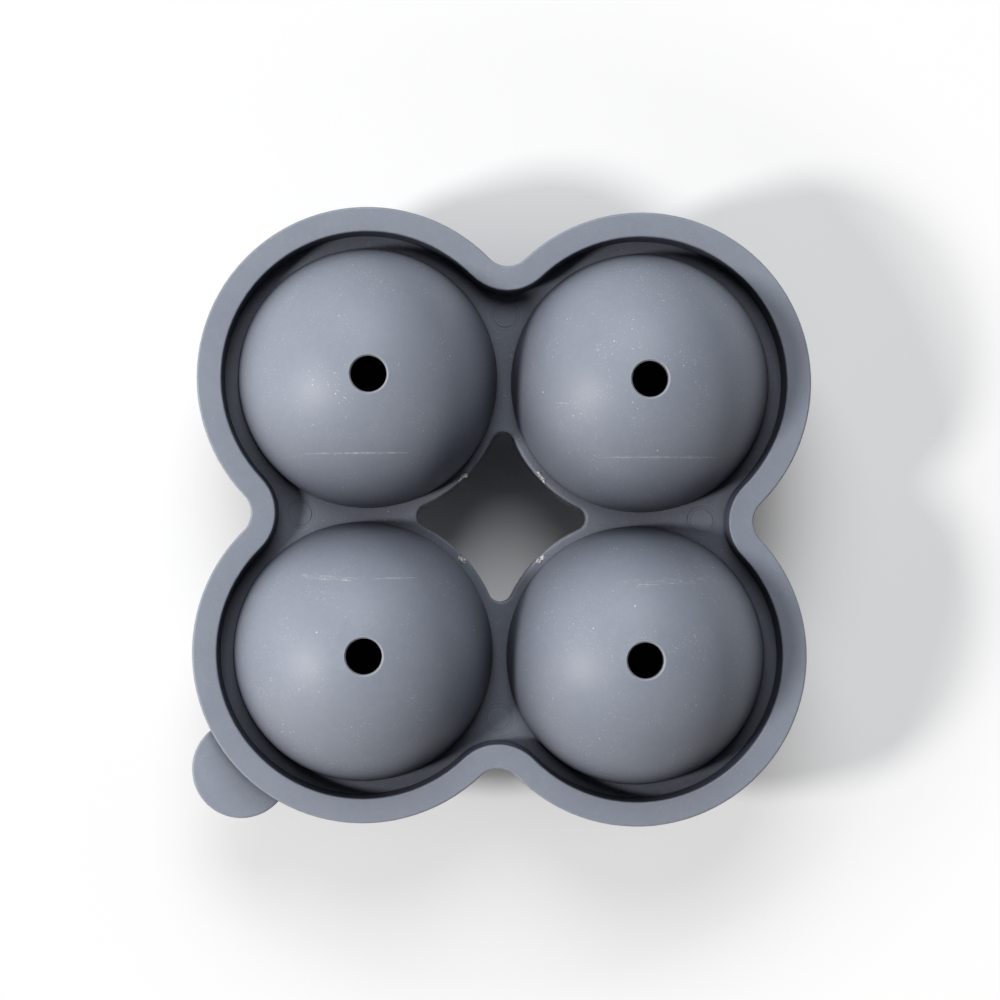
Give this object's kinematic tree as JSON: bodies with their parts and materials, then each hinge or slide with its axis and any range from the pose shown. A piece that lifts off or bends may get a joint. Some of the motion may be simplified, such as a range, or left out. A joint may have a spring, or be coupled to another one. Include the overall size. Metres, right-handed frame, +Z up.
{
  "type": "ice ball mold",
  "caption": "Silicone ice ball mould: a domed lid with fill holes, a raised rim and a peel tab closes over a base of half-round bowls on flat pads.",
  "frame": {"origin": "middle of the footprint, on the surface that the mould stands on", "axes": "+Z up, the way the lid lifts; +X and +Y along the two rows of balls, with the peel tab on the -X -Y diagonal"},
  "size_m": [0.1166, 0.1166, 0.0492],
  "materials": {
    "silicone": "matte moulded silicone, slate grey"
  },
  "bodies": {
    "base": {"base": "silicone"},
    "lid": {"lid": "silicone"}
  },
  "joints": [
    {"name": "lid_lift", "type": "slide", "parent": "base", "child": "lid", "axis": [0, 0, 1], "range_m": [0, 0.06]}
  ]
}
